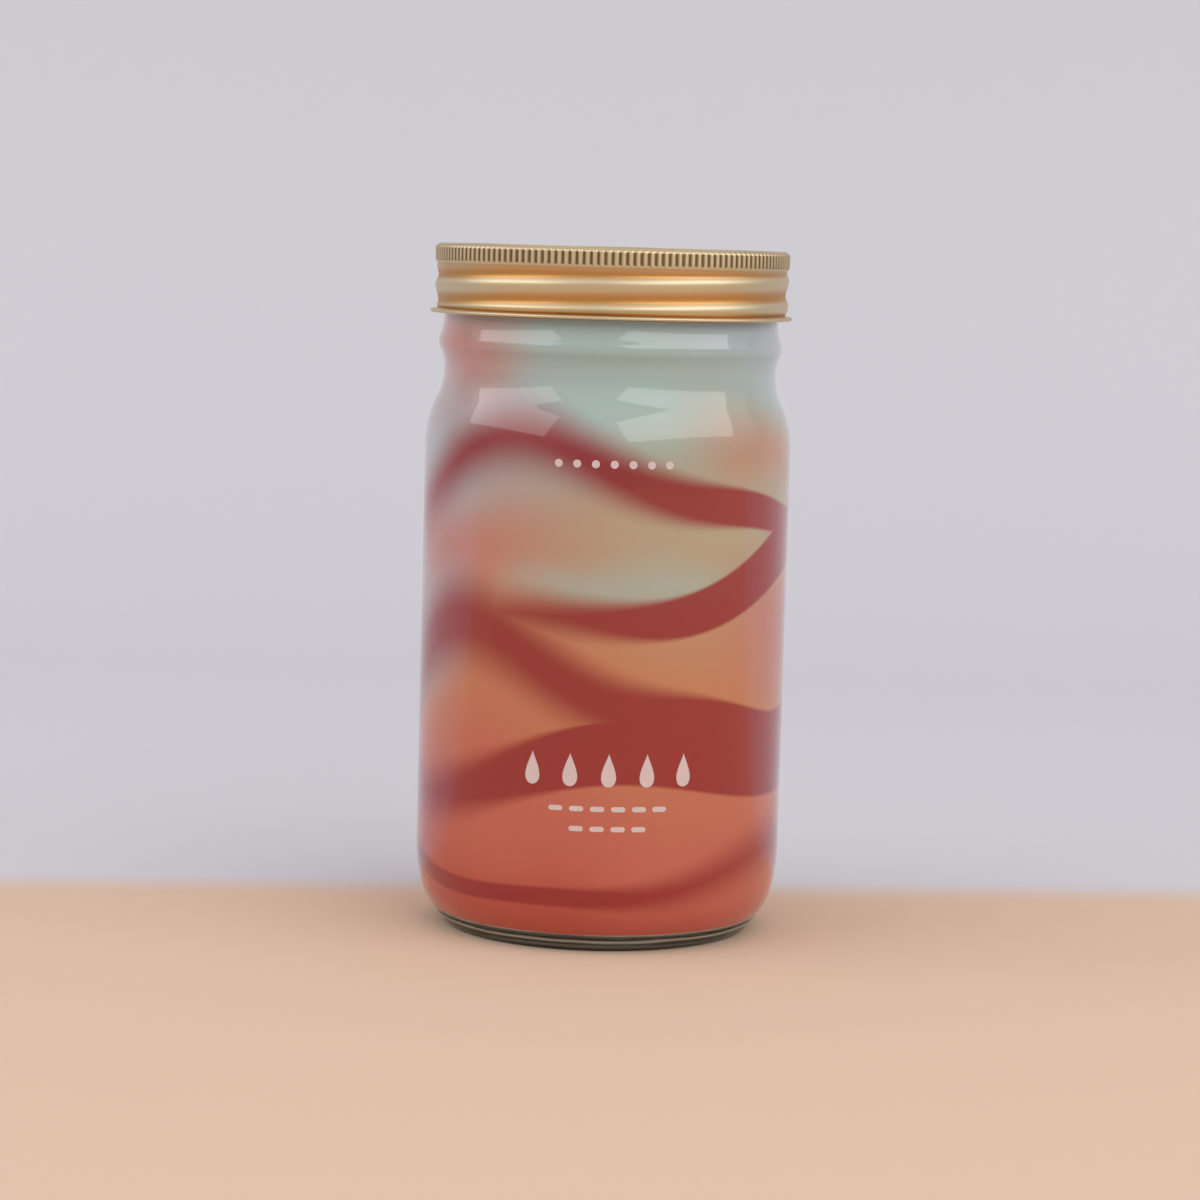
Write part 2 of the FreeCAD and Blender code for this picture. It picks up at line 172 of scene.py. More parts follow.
class BandSizes(bpy.types.PropertyGroup):
    """The rolled screw band."""

    knurls: IntProperty(name="Knurls", description="Flutes round the edge", default=160, min=40, max=240)
    knurl_depth: length("Knurl depth", "From flute to crest", 0.5)
    edge_radius: length("Edge radius", "Outside of the fluted edge at its roots", 44.85)
    wall_radius: length("Wall radius", "Outside of the wall between the rolls", 44.5)
    lip_width: length("Lip width", "Inward lip on top", 6.0)
    sheet: length("Sheet", "Thickness of the metal", 0.3)
    height: length("Height", "Top of the lip to the curl", 17.6)
    flange_radius: length("Flange radius", "Outside of the curled skirt", 46.4)
    pitch: length("Pitch", "Rise of the rolled thread in a turn", 6.35)
    roll_height: length("Roll height", "How far the roll stands out", 0.8)
    roll_rise: length("Roll rise", "Height of the lower roll above the skirt at the front", 2.4)
    roll_skew: share("Roll skew", "Part of the pitch from a roll up to its hollow", 0.34, 0.1, 0.9)


class FillingSizes(bpy.types.PropertyGroup):
    """The soft pieces in the jar."""

    wick_width: length("Wick width", "Width of the felt strip", 22.0)
    wick_length: length("Wick length", "Cut length of the felt strip", 123.5)
    wick_thickness: length("Wick thickness", "Thickness of the felt", 2.0)
    pouch_width: length("Pouch width", "Width over the side seams", 52.0)
    pouch_seam: length("Pouch seam", "Height of a crimped end", 5.0)
    food_height: length("Food pouch height", "Plant food pouch with its ends", 66.0)
    food_depth: length("Food pouch depth", "Plant food pouch at its fullest", 8.0)
    carbon_height: length("Carbon pouch height", "Carbon pouch with its ends", 58.0)
    carbon_depth: length("Carbon pouch depth", "Carbon pouch at its fullest", 9.0)
    packet_length: length("Packet length", "Seed packet, long side", 56.0)
    packet_width: length("Packet width", "Seed packet, short side", 42.0)
    packet_depth: length("Packet depth", "Seed packet at its fullest", 1.4)
    packet_flap: length("Packet flap", "How far the flap reaches over the packet", 14.0)
    packet_turn: angle("Packet turn", "How the packet lies", 20)
    fibres: IntProperty(name="Fibres", description="Loose fibres on the medium", default=240, min=0, max=600)


class StageSettings(bpy.types.PropertyGroup):
    """Camera, lamps and surroundings."""

    distance: length("Distance", "Camera to the jar's axis", 868.0)
    height: length("Camera height", "Camera above the floor", 177.4)
    aside: length("Aside", "Camera to the left of the axis", 0.9)
    lens: FloatProperty(name="Lens", description="Focal length", default=101.1, unit="CAMERA")
    pitch: angle("Pitch", "Look down", 6.13)
    roll: angle("Roll", "Lean of the camera", 1.57)
    left_power: power("Left lamp", "Power of the lamp on the left", 6.2)
    right_power: power("Right lamp", "Power of the lamp on the right", 12.2)
    room_strength: FloatProperty(name="Room light", description="Light from all round", default=0.8, min=0.0)
    floor: tint("Floor", "Plain floor", 222, 192, 168)
    wall: tint("Wall", "Plain backdrop", 212, 210, 216)


def link(name, mesh, body, material):
    """A finished mesh becomes a piece that rides on a body."""
    piece = bpy.data.objects.new(name, mesh)
    bpy.context.scene.collection.objects.link(piece)
    mesh.materials.append(material)
    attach(piece, body)
    return piece


def finish_mesh(bm, name, sharp_angle=math.radians(35)):
    """Writes a bmesh with smooth faces and sharp edges past an angle."""
    for face in bm.faces:
        face.smooth = True
    for edge in bm.edges:
        edge.smooth = len(edge.link_faces) == 2 and edge.calc_face_angle(0) < sharp_angle
    mesh = bpy.data.meshes.new(name)
    bm.to_mesh(mesh)
    bm.free()
    return mesh


def spun(points, steps):
    """A full turn of a closed outline of (radius, height) points about the Z axis."""
    bm = bmesh.new()
    ring = [bm.verts.new((radius, 0, height)) for radius, height in points]
    edges = [bm.edges.new((a, b)) for a, b in zip(ring, ring[1:] + ring[:1])]
    bmesh.ops.spin(
        bm,
        geom=ring + edges,
        cent=(0, 0, 0),
        axis=(0, 0, 1),
        angle=2 * math.pi,
        steps=steps,
        use_merge=True,
    )
    bmesh.ops.remove_doubles(bm, verts=bm.verts, dist=WELD)
    bmesh.ops.recalc_face_normals(bm, faces=bm.faces)
    return bm


def evenly(start, end, count):
    """Values at even steps, both ends included."""
    return [start + (end - start) * i / count for i in range(count + 1)]


def arc_points(centre, radius, start, end, count):
    """Points on an arc, both ends included."""
    turns = evenly(start, end, count)
    return [(centre[0] + radius * math.cos(a), centre[1] + radius * math.sin(a)) for a in turns]


def bend_points(lower, upper, lower_share, count):
    """Two tangent arcs between upright stretches, from the lower point to the upper one."""
    across, rise = upper[0] - lower[0], upper[1] - lower[1]
    side = math.copysign(1, across)
    turn = 2 * math.atan(abs(across) / rise)
    radii = rise / math.sin(turn)
    lower_radius = radii * lower_share
    upper_radius = radii - lower_radius
    lower_centre = (lower[0] + side * lower_radius, lower[1])
    upper_centre = (upper[0] - side * upper_radius, upper[1])
    first = arc_points(lower_centre, -side * lower_radius, 0, -side * turn, count)
    second = arc_points(upper_centre, side * upper_radius, -side * turn, 0, count)
    return first + second[1:]


def move_out(vert, radius, wanted):
    """Takes a vertex at one radius from the Z axis to another."""
    vert.co.x *= wanted / radius
    vert.co.y *= wanted / radius


def welded(node):
    """A copy of a CAD node's mesh with its loose triangles joined."""
    bm = bmesh.new()
    bm.from_mesh(frame["nodes"][node].data)
    bmesh.ops.remove_doubles(bm, verts=bm.verts, dist=CAD_WELD)
    return bm


def smooth_copy(node, name, material, reshape=None):
    """A smooth copy of a CAD node that stands for it; reshape may move its vertices first."""
    bm = welded(node)
    if reshape:
        reshape(bm)
    body = frame["nodes"][node]["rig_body"]
    piece = link(name, finish_mesh(bm, name, math.radians(28)), body, material)
    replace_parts(piece, node)


def set_stops(ramp, stops):
    """Gives a colour ramp node its positions and colours."""
    elements = ramp.color_ramp.elements
    while len(elements) < len(stops):
        elements.new(0.5)
    for element, (position, value) in zip(elements, stops):
        element.position = position
        element.color = value


class Graph:
    """Short calls that add nodes to a material."""

    def __init__(self, name):
        self.material = bpy.data.materials.new(name)
        self.material.use_nodes = True
        self.tree = self.material.node_tree
        self.shader = self.tree.nodes["Principled BSDF"]

    def set(self, **sockets):
        """Sets the shader's own sockets; underscores stand for spaces."""
        for name, value in sockets.items():
            self.put(self.shader.inputs[name.replace("_", " ")], value)

    def put(self, socket, value):
        """Links a socket to a socket, or sets it to a number or colour."""
        if isinstance(value, bpy.types.NodeSocket):
            self.tree.links.new(value, socket)
        else:
            socket.default_value = value

    def node(self, kind, inputs=None, output=0, **settings):
        """Adds a node and gives one of its outputs."""
        made = self.tree.nodes.new(kind)
        for name, value in settings.items():
            setattr(made, name, value)
        for name, value in (inputs or {}).items():
            self.put(made.inputs[name], value)
        return made.outputs[output]

    def math(self, operation, a, b=0.0, c=0.0):
        made = self.tree.nodes.new("ShaderNodeMath")
        made.operation = operation
        for socket, value in zip(made.inputs, (a, b, c)):
            self.put(socket, value)
        return made.outputs[0]

    def object_point(self):
        return self.node("ShaderNodeTexCoord", output="Object")

    def place(self):
        """The object point's X, Y and Z."""
        return tuple(self.node("ShaderNodeSeparateXYZ", {"Vector": self.object_point()}).node.outputs)

    def noise(self, scale, detail=2.0, roughness=0.5, vector=None):
        """Noise with so many cells to the metre."""
        inputs = {"Vector": vector or self.object_point(), "Scale": scale}
        inputs.update({"Detail": detail, "Roughness": roughness})
        return self.node("ShaderNodeTexNoise", inputs, "Fac")

    def stretched(self, scale):
        """The object point with its own scale on each axis, in cells to the metre."""
        return self.node("ShaderNodeMapping", {"Vector": self.object_point(), "Scale": scale})

    def ramp(self, factor, stops, interpolation="EASE"):
        made = self.tree.nodes.new("ShaderNodeValToRGB")
        made.color_ramp.interpolation = interpolation
        set_stops(made, stops)
        self.put(made.inputs["Fac"], factor)
        return made.outputs["Color"]

    def mix(self, factor, a, b):
        made = self.tree.nodes.new("ShaderNodeMix")
        made.data_type = "RGBA"
        for name, value in (("Factor", factor), ("A", a), ("B", b)):
            socket = next(s for s in made.inputs if s.name == name and s.enabled)
            self.put(socket, value)
        return next(s for s in made.outputs if s.enabled)

    def between(self, value, low, high, new_low=0.0, new_high=1.0):
        """Takes a value smoothly from one range to another, and no further."""
        inputs = {"Value": value, "From Min": low, "From Max": high, "To Min": new_low, "To Max": new_high}
        return self.node("ShaderNodeMapRange", inputs, interpolation_type="SMOOTHSTEP")

    def bump(self, height, distance, strength):
        """Gives the shader a bumped normal; the distance is in metres."""
        inputs = {"Height": height, "Distance": distance, "Strength": strength}
        self.put(self.shader.inputs["Normal"], self.node("ShaderNodeBump", inputs))
        return self


def print_material(colours):
    """Glossy film: a soft vertical ground with deep red wavy ribbons, some sharp and some blurred."""
    g = Graph("printed_film")
    x, y, z = g.place()
    azimuth = g.math("ARCTAN2", x, g.math("MULTIPLY", y, -1.0))
    drift_reach = 50 * MM
    drift = g.math("SUBTRACT", g.noise(17.0, detail=1.0), 0.5)
    height = g.math("MULTIPLY_ADD", drift, drift_reach, z)
    height_share = g.math("DIVIDE", height, cad_high.z)
    left = g.ramp(
        height_share,
        [
            (0.03, colours.brick),
            (0.2, colours.coral),
            (0.42, colours.peach),
            (0.58, colours.rose),
            (0.76, colours.mist),
            (0.9, colours.mint),
        ],
    )
    right = g.ramp(
        height_share,
        [
            (0.03, colours.brick),
            (0.16, colours.coral),
            (0.34, colours.peach),
            (0.6, colours.sand),
            (0.78, colours.mint),
            (0.92, colours.mist),
        ],
    )
    seam_azimuth, seam_softness = 0.35, 0.7
    side = g.math("SINE", g.math("ADD", azimuth, seam_azimuth))
    ground = g.mix(g.between(side, -seam_softness, seam_softness), left, right)

    # Each ribbon: height, swing and turns of its wave, half width, phase, and azimuth of its widest blur
    ribbons = (
        (18.0, 5.0, 2, 5.0, 5.4, 1.9),
        (41.0, 9.0, 1, 7.5, 0.9, -2.2),
        (66.0, 12.0, 2, 8.5, 3.0, -1.3),
        (92.0, 12.0, 1, 7.5, 5.6, -1.6),
        (116.0, 10.0, 2, 6.0, 2.3, -1.2),
    )
    more_turns, phase_gain, ripple_part = 2.0, 1.7, 3
    mean_width, width_swing = 0.8, 0.35
    away_from_blur, near_blur = -0.6, 0.9
    least_blur, most_blur = 0.6 * MM, 7.5 * MM
    cover = 0.0
    for level, swing, turns, half_width, phase, blur_azimuth in ribbons:
        wave = g.math("SINE", g.math("MULTIPLY_ADD", azimuth, float(turns), phase))
        ripple = g.math("SINE", g.math("MULTIPLY_ADD", azimuth, turns + more_turns, phase * phase_gain))
        centre = g.math("MULTIPLY_ADD", wave, swing * MM, level * MM)
        centre = g.math("MULTIPLY_ADD", ripple, swing * MM / ripple_part, centre)
        away = g.math("ABSOLUTE", g.math("SUBTRACT", z, centre))
        swell = g.math("SINE", g.math("ADD", azimuth, phase))
        swell = g.math("MULTIPLY_ADD", swell, width_swing, mean_width)
        width = g.math("MULTIPLY", swell, half_width * MM)
        turned = g.math("COSINE", g.math("SUBTRACT", azimuth, blur_azimuth))
        blur = g.between(turned, away_from_blur, near_blur, least_blur, most_blur)
        depth = g.math("DIVIDE", g.math("SUBTRACT", width, away), blur)
        cover = g.math("MAXIMUM", cover, g.between(depth, -1.0, 1.0))

    # Each blush: its azimuth, height, half height, colour and weight
    blushes = (
        (-1.25, 148.0, 22.0, colours.rose, 0.85),
        (1.15, 128.0, 20.0, colours.peach, 0.7),
        (0.15, 88.0, 12.0, colours.mint, 0.6),
        (-1.5, 84.0, 30.0, colours.mist, 0.9),
        (1.45, 80.0, 26.0, colours.rose, 0.8),
    )
    edge_cosine = 0.62
    for centre, level, half_height, hue, weight in blushes:
        turned = g.math("COSINE", g.math("SUBTRACT", azimuth, centre))
        away = g.math("ABSOLUTE", g.math("SUBTRACT", height, level * MM))
        facing = g.between(turned, edge_cosine, 1.0)
        level_share = g.between(away, half_height * MM, 0.0)
        near = g.math("MULTIPLY", facing, level_share)
        ground = g.mix(g.math("MULTIPLY", near, weight), ground, hue)

    ink_cover, grain_share = 0.96, 0.06
    lighter_ribbon, grain_shade = colour(156, 40, 38), colour(120, 90, 84)
    tone = g.mix(g.noise(9.0, detail=0.0), colours.ribbon, lighter_ribbon)
    painted = g.mix(g.math("MULTIPLY", cover, ink_cover), ground, tone)
    grain = g.math("MULTIPLY", g.noise(2400.0, detail=1.0), grain_share)
    g.set(
        Base_Color=g.mix(grain, painted, grain_shade),
        Roughness=0.22,
        Specular_IOR_Level=0.12,
        Coat_Weight=1.0,
        Coat_Roughness=0.04,
        Coat_IOR=1.5,
    )
    return g.bump(g.noise(210.0, detail=1.0), 0.02 * MM, 0.5).material


def glass_material():
    """Clear soda glass, olive in the thick foot, where bands of painted shade and painted reflection stand
    for what the foot refracts.
    """
    g = Graph("clear_glass")
    _, _, z = g.place()
    dark_below, clear_above, rings_top = 4.0 * MM, 12.0 * MM, 8.0 * MM
    waver_reach, painted_band_opacity = 0.9 * MM, 0.62
    foot = g.between(z, dark_below, clear_above, 1.0, 0.0)
    waver = g.noise(1.0, vector=g.stretched((60, 60, 400)))
    height = g.math("MULTIPLY_ADD", waver, waver_reach, z)
    # Painted shade and painted reflection: dark bands stand for the dark inside seen through the foot, pale
    # bands for the floor; the olive is partly the thick glass's own tint.
    dark, olive, pale = colour(96, 90, 70), colour(150, 144, 122), colour(232, 222, 204)
    stops = [(0.1, dark), (0.2, olive), (0.3, dark), (0.41, pale), (0.5, dark), (0.58, olive), (0.66, pale)]
    painted_foot_bands = g.ramp(g.math("DIVIDE", height, rings_top), stops)
    # Pale painted bands let less light through, so their painted colour shows.
    painted_band_cover = g.math("MULTIPLY", foot, g.node("ShaderNodeRGBToBW", {"Color": painted_foot_bands}))
    g.set(
        Base_Color=g.mix(foot, colour(238, 244, 238), painted_foot_bands),
        Roughness=0.03,
        IOR=1.5,
        Transmission_Weight=g.math("SUBTRACT", 1.0, g.math("MULTIPLY", painted_band_cover, painted_band_opacity)),
    )
    return g.bump(g.noise(160.0, detail=1.0), 0.03 * MM, 0.4).material


def gold_material(name, streak_scale, hollows=None, flutes=None):
    """Satin lacquered gold on sheet, with fine lines along the rolling.

    Hollows get a painted reflection, a deeper orange for the warm floor and their own walls reflected in
    them; they are given as the radii of their floor and of the crests beside them.
    Flutes are given as the radius of their roots, their depth, and their lower and upper ends; their roots
    get a painted shade.
    """
    g = Graph(name)
    lines = g.noise(1.0, detail=3.0, vector=g.stretched(streak_scale))
    cloud = g.noise(60.0, detail=3.0)
    base = g.mix(cloud, colour(214, 197, 164), colour(208, 191, 157))
    if hollows:
        x, y, z = g.place()
        radius = g.math("SQRT", g.math("ADD", g.math("POWER", x, 2.0), g.math("POWER", y, 2.0)))
        root, rise, lower, upper = flutes
        fade, bright_share, dark_share = 0.5 * MM, 0.8, 0.15
        # Painted reflection: the hollows between the rolls take a deeper orange, standing for the warm floor
        # and the hollows' own walls reflected there.
        proud = g.math("MAXIMUM", g.between(radius, *hollows), g.between(z, upper, upper + fade))
        hollow_painted_reflection = g.mix(cloud, colour(200, 148, 86), colour(193, 141, 80))
        base = g.mix(proud, hollow_painted_reflection, base)
        # Painted shade: the roots of the flutes, between their lower and upper ends, are darkened.
        sunk = g.between(radius, root + bright_share * rise, root + dark_share * rise)
        rows = g.math("MULTIPLY", g.between(z, lower, lower + fade), g.between(z, upper, upper - fade))
        flute_root_painted_shade = colour(116, 93, 58)
        base = g.mix(g.math("MULTIPLY", sunk, rows), base, flute_root_painted_shade)
    g.set(
        Base_Color=base,
        Metallic=1.0,
        Roughness=g.between(lines, 0.2, 0.8, 0.42, 0.5),
        Coat_Weight=0.12,
        Coat_Roughness=0.3,
    )
    return g.bump(lines, 0.006 * MM, 0.6).material


def steel_material():
    """Brushed stainless sheet."""
    g = Graph("pot_steel")
    lines = g.noise(1.0, detail=4.0, vector=g.stretched((300, 300, 9000)))
    g.set(
        Base_Color=g.mix(lines, colour(178, 178, 174), colour(206, 206, 202)),
        Metallic=1.0,
        Roughness=g.between(lines, 0.2, 0.8, 0.25, 0.42),
    )
    return g.bump(lines, 0.01 * MM, 0.5).material


def rubber_material():
    """Sealing compound."""
    g = Graph("sealing_compound")
    speck = g.noise(900.0)
    g.set(Base_Color=g.mix(speck, colour(78, 74, 70), colour(98, 92, 86)), Roughness=0.62)
    return g.bump(speck, 0.04 * MM, 0.4).material


def coir_material():
    """Pressed coconut fibre, with pale strands in dark pith."""
    g = Graph("coir")
    strands = g.noise(1.0, detail=6.0, roughness=0.7, vector=g.stretched((900, 240, 1500)))
    crumbs = g.node("ShaderNodeTexVoronoi", {"Vector": g.object_point(), "Scale": 700.0}, "Distance")
    pith, bark, fibre, pale_fibre = (
        colour(38, 24, 15),
        colour(72, 47, 29),
        colour(112, 78, 49),
        colour(164, 124, 82),
    )
    crumb_share, crumb_shade = 0.6, colour(30, 20, 13)
    base = g.ramp(strands, [(0.3, pith), (0.5, bark), (0.62, fibre), (0.75, pale_fibre)], "LINEAR")
    g.set(Base_Color=g.mix(g.math("MULTIPLY", crumbs, crumb_share), base, crumb_shade), Roughness=0.92)
    return g.bump(g.math("ADD", strands, crumbs), 0.9 * MM, 0.9).material


def felt_material():
    """White felt with a soft nap."""
    g = Graph("felt")
    nap = g.noise(1.0, detail=5.0, roughness=0.7, vector=g.stretched((1400, 1400, 500)))
    g.set(
        Base_Color=g.mix(nap, colour(206, 203, 194), colour(236, 234, 226)),
        Roughness=0.95,
        Sheen_Weight=0.5,
        Sheen_Roughness=0.5,
    )
    return g.bump(nap, 0.4 * MM, 0.8).material


def paper_material(name, dark, light, fibre_scale):
    """Uncoated paper with short fibres."""
    g = Graph(name)
    fibres = g.noise(1.0, detail=5.0, roughness=0.65, vector=g.stretched(fibre_scale))
    g.set(Base_Color=g.mix(g.between(fibres, 0.25, 0.75), dark, light), Roughness=0.82)
    return g.bump(fibres, 0.12 * MM, 0.6).material


def foil_material():
    """Satin laminated foil, finely creased."""
    g = Graph("foil")
    creases = g.node(
        "ShaderNodeTexVoronoi",
        {"Vector": g.stretched((120, 120, 90)), "Scale": 1.6},
        "Distance",
        feature="DISTANCE_TO_EDGE",
    )
    g.set(
        Base_Color=g.mix(g.noise(60.0), colour(196, 198, 200), colour(222, 223, 224)),
        Metallic=1.0,
        Roughness=g.between(creases, 0.0, 0.3, 0.36, 0.24),
    )
    return g.bump(creases, 0.7 * MM, 0.7).material


def print_mark_material(colours):
    """Pale ink."""
    g = Graph("pale_ink")
    g.set(
        Base_Color=g.mix(g.noise(500.0), colours.mark, colour(206, 184, 182)),
        Roughness=0.3,
        Coat_Weight=1.0,
        Coat_Roughness=0.05,
    )
    return g.bump(g.noise(300.0), 0.01 * MM, 0.4).material


def film_outline(sizes):
    """The film's outside, from the knee of the heel to its upper end."""
    heel_arc_share, knee_arc_share, shoulder_foot_share = 2.05, 0.74, 0.61
    heel_arc, knee_arc = sizes.heel_height * heel_arc_share, sizes.heel_height * knee_arc_share
    heel_lean, knee_lean = math.radians(15), math.radians(36)
    arc_steps, wall_steps, shoulder_steps = 10, 12, 14
    heel_centre = (sizes.body_radius - heel_arc, sizes.heel_height)
    reach = heel_arc - knee_arc
    knee_across = heel_centre[0] + reach * math.cos(heel_lean)
    knee_centre = (knee_across, heel_centre[1] - reach * math.sin(heel_lean))
    points = arc_points(knee_centre, knee_arc, -knee_lean, -heel_lean, arc_steps)
    points += arc_points(heel_centre, heel_arc, -heel_lean, 0, arc_steps)[1:]
    wall = evenly(sizes.heel_height, sizes.shoulder_height, wall_steps)[1:-1]
    points += [(sizes.body_radius, height) for height in wall]
    shoulder = (sizes.body_radius, sizes.shoulder_height)
    neck = (sizes.neck_radius, sizes.neck_height)
    points += bend_points(shoulder, neck, shoulder_foot_share, shoulder_steps)
    bead_foot = (sizes.neck_radius, sizes.bead_height - sizes.bead_half_width)
    bead = (sizes.bead_radius, sizes.bead_height)
    bead_head = (sizes.finish_radius, sizes.bead_height + sizes.bead_half_width)
    points += bend_points(bead_foot, bead, sizes.foot_share, arc_steps)
    points += bend_points(bead, bead_head, 1 - sizes.foot_share, arc_steps)[1:]
    return points + [(sizes.finish_radius, sizes.film_top)]


class JAR_OT_print_film(bpy.types.Operator):
    """The printed film round the glass"""

    bl_idname = "jar_planter.print_film"
    bl_label = "Print film"

    def execute(self, context):
        sizes = context.scene.jar_sizes
        columns = 256
        outside = film_outline(sizes)
        inside = [(radius - sizes.film, height) for radius, height in reversed(outside)]
        bm = spun(outside + inside, columns)
        material = print_material(context.scene.jar_colours)
        piece = link("printed_film", finish_mesh(bm, "printed_film"), "jar", material)
        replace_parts(piece, "print_skin")
        return {"FINISHED"}


class JAR_OT_glass(bpy.types.Operator):
    """The glass jar with its thread and stippled foot"""

    bl_idname = "jar_planter.glass"
    bl_label = "Glass"

    def execute(self, context):
        sizes, band = context.scene.jar_sizes, context.scene.jar_band
        front_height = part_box("screw_band")[1].z - band.height + band.roll_rise
        off_root, least_fade = 0.02 * MM, 0.02

        def run_out(bm):
            """Both ends of the moulded thread sink into the wall."""
            for vert in bm.verts:
                radius = math.hypot(vert.co.x, vert.co.y)
                if radius < sizes.thread_root + off_root or vert.co.z < sizes.film_top:
                    continue
                past_front = (math.atan2(vert.co.y, vert.co.x) + math.pi / 2) / (2 * math.pi) % 1
                turns = past_front + round((vert.co.z - front_height) / band.pitch - past_front)
                from_end = min(turns + sizes.thread_before, sizes.thread_after - turns) / sizes.thread_fade
                left = math.sin(max(least_fade, min(1, from_end)) * math.pi / 2)
                move_out(vert, radius, sizes.thread_root + (radius - sizes.thread_root) * left)

        smooth_copy("glass_jar", "clear_jar", glass_material(), run_out)
        return {"FINISHED"}


def drop_outline(width, height, count):
    """A water drop, point up, about its centre."""
    taper = 1.6
    points = []
    for i in range(count):
        turn = 2 * math.pi * i / count
        narrow = math.sin(turn / 2) ** taper
        points.append((width / 2 * math.sin(turn) * narrow, height / 2 * math.cos(turn)))
    return points


def slot_outline(width, height, count):
    """A round-ended bar about its centre."""
    half, radius = (width - height) / 2, height / 2
    right = arc_points((half, 0), radius, -math.pi / 2, math.pi / 2, count)
    left = arc_points((-half, 0), radius, math.pi / 2, 3 * math.pi / 2, count)
    return right + left


def wrap_mark(bm, outline, across, up, radius, thickness):
    """Adds a flat shape to the film, wrapped round the jar's front."""
    ring = [bm.verts.new((across + x, -radius, up + z)) for x, z in outline]
    face = bm.faces.new(ring)
    made = bmesh.ops.extrude_face_region(bm, geom=[face])
    top = [v for v in made["geom"] if isinstance(v, bmesh.types.BMVert)]
    bmesh.ops.translate(bm, verts=top, vec=(0, -thickness, 0))
    for vert in ring + top:
        turn = vert.co.x / radius
        reach = -vert.co.y
        vert.co.x = reach * math.sin(turn)
        vert.co.y = -reach * math.cos(turn)


class JAR_OT_marks(bpy.types.Operator):
    """Small pale generic marks on the front of the film"""

    bl_idname = "jar_planter.marks"
    bl_label = "Front marks"

    def execute(self, context):
        sunk, ink = 0.01 * MM, 0.06 * MM
        radius = context.scene.jar_sizes.body_radius - sunk
        dot_radius, dot_sides = 1.0 * MM, 18
        last_turn = 2 * math.pi * (dot_sides - 1) / dot_sides
        dot = arc_points((0, 0), dot_radius, 0, last_turn, dot_sides - 1)
        drop = drop_outline(width=5.4 * MM, height=8.4 * MM, count=28)
        bar = slot_outline(width=3.6 * MM, height=1.3 * MM, count=6)
        # Each row: its mark, how many, and in millimetres their spacing, middle and height
        rows = (
            (dot, 7, 4.6, 1.8, 122.5),
            (drop, 5, 9.6, 2.4, 47.0),
            (bar, 6, 5.2, 2.4, 37.3),
            (bar, 4, 5.2, 2.4, 32.3),
        )
        bm = bmesh.new()
        for outline, count, spacing, middle, height in rows:
            for i in range(count):
                across = (middle + (i - (count - 1) / 2) * spacing) * MM
                wrap_mark(bm, outline, across, height * MM, radius, ink)
        bmesh.ops.recalc_face_normals(bm, faces=bm.faces)
        material = print_mark_material(context.scene.jar_colours)
        link("front_marks", finish_mesh(bm, "front_marks"), "jar", material)
        return {"FINISHED"}


def band_outline(band, top):
    """The band's section: lip, round corner, fluted edge, wall, flare and curl, then back up inside."""
    base = top - band.height
    corner_round, curl_radius = 0.9 * MM, 0.45 * MM
    curl_start, curl_end = math.pi * 0.6, -math.pi * 0.9
    flare_in, flare_up, tuck_in, tuck_up = 0.55 * MM, 0.42 * MM, 0.62 * MM, 0.1 * MM
    corner_steps, knurl_rows, wall_rows, curl_steps, inner_rows = 5, 9, 30, 12, 20
    knurl_base = top - 4.6 * MM
    wall_top, wall_base = knurl_base - 0.35 * MM, base + 1.3 * MM
    curl = (band.flange_radius - curl_radius, base + curl_radius)
    corner = (band.edge_radius - corner_round, top - corner_round)
    lip_inner = band.edge_radius - band.lip_width
    inner_wall, inner_edge = band.wall_radius - band.sheet, band.edge_radius - band.sheet
    outside = [(lip_inner, top), (lip_inner + band.lip_width / 2, top)]
    outside += arc_points(corner, corner_round, math.pi / 2, 0, corner_steps)
    outside += [(band.edge_radius, height) for height in evenly(corner[1], knurl_base, knurl_rows)[1:]]
    outside += [(band.wall_radius, height) for height in evenly(wall_top, wall_base, wall_rows)]
    outside.append((curl[0] - flare_in, curl[1] + flare_up))
    outside += arc_points(curl, curl_radius, curl_start, curl_end, curl_steps)
    outside.append((curl[0] - tuck_in, curl[1] + tuck_up))
    inside = [(inner_wall, height) for height in evenly(wall_base, wall_top, inner_rows)]
    inside += [(inner_edge, knurl_base), (inner_edge, corner[1])]
    inside += arc_points(corner, corner_round - band.sheet, math.pi / 8, math.pi / 2, 3)
    inside.append((lip_inner, top - band.sheet))
    return outside + inside, knurl_base, wall_base


